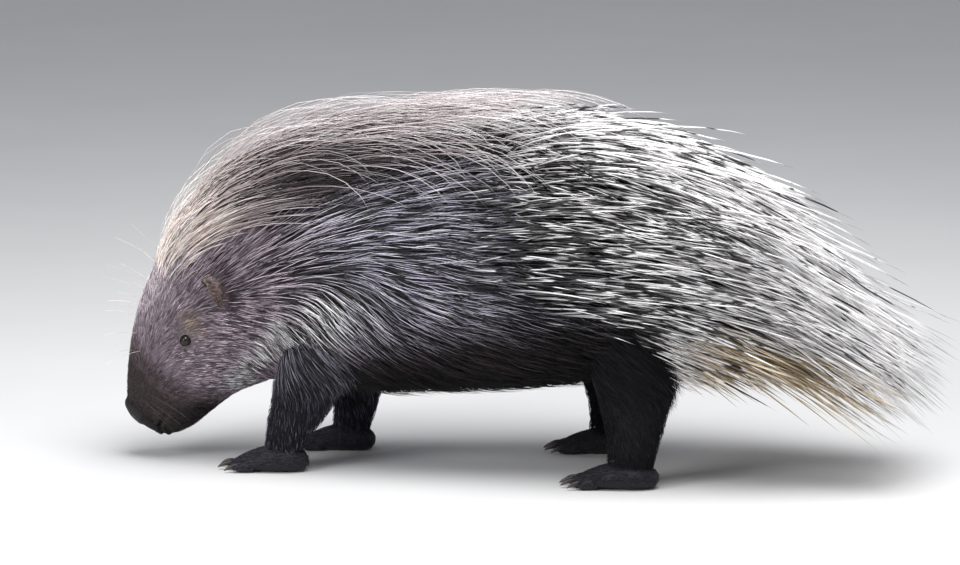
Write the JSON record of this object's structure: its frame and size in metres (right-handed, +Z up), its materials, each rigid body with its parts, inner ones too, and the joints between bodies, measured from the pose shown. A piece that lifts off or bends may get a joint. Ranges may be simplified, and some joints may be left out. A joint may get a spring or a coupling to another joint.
{
  "type": "crested porcupine model",
  "caption": "Life-size crested porcupine in a walking pose with its head low, with a swept crest, bristly shoulders and long banded quills over back and rump.",
  "frame": {"origin": "on the floor, under the middle of the bounding box", "axes": "+X from the muzzle towards the tail, +Y towards the animal's right side, +Z up"},
  "size_m": [1.0057, 0.3231, 0.4582],
  "materials": {
    "fur": "short grey-brown fur",
    "dark_fur": "short near-black fur",
    "bristles": "long coarse bristles",
    "quills": "smooth horn, banded black and white",
    "ear": "thin skin with down",
    "eye": "wet gloss"
  },
  "bodies": {
    "root": {"head": "fur", "neck": "bristles", "torso": "quills", "tail": "quills", "ear_left": "ear", "ear_right": "ear", "eye_left": "eye", "eye_right": "eye", "front_leg_left": "dark_fur", "front_leg_right": "dark_fur", "hind_leg_left": "dark_fur", "hind_leg_right": "dark_fur", "front_foot_left": "dark_fur", "front_foot_right": "dark_fur", "hind_foot_left": "dark_fur", "hind_foot_right": "dark_fur"}
  },
  "joints": []
}
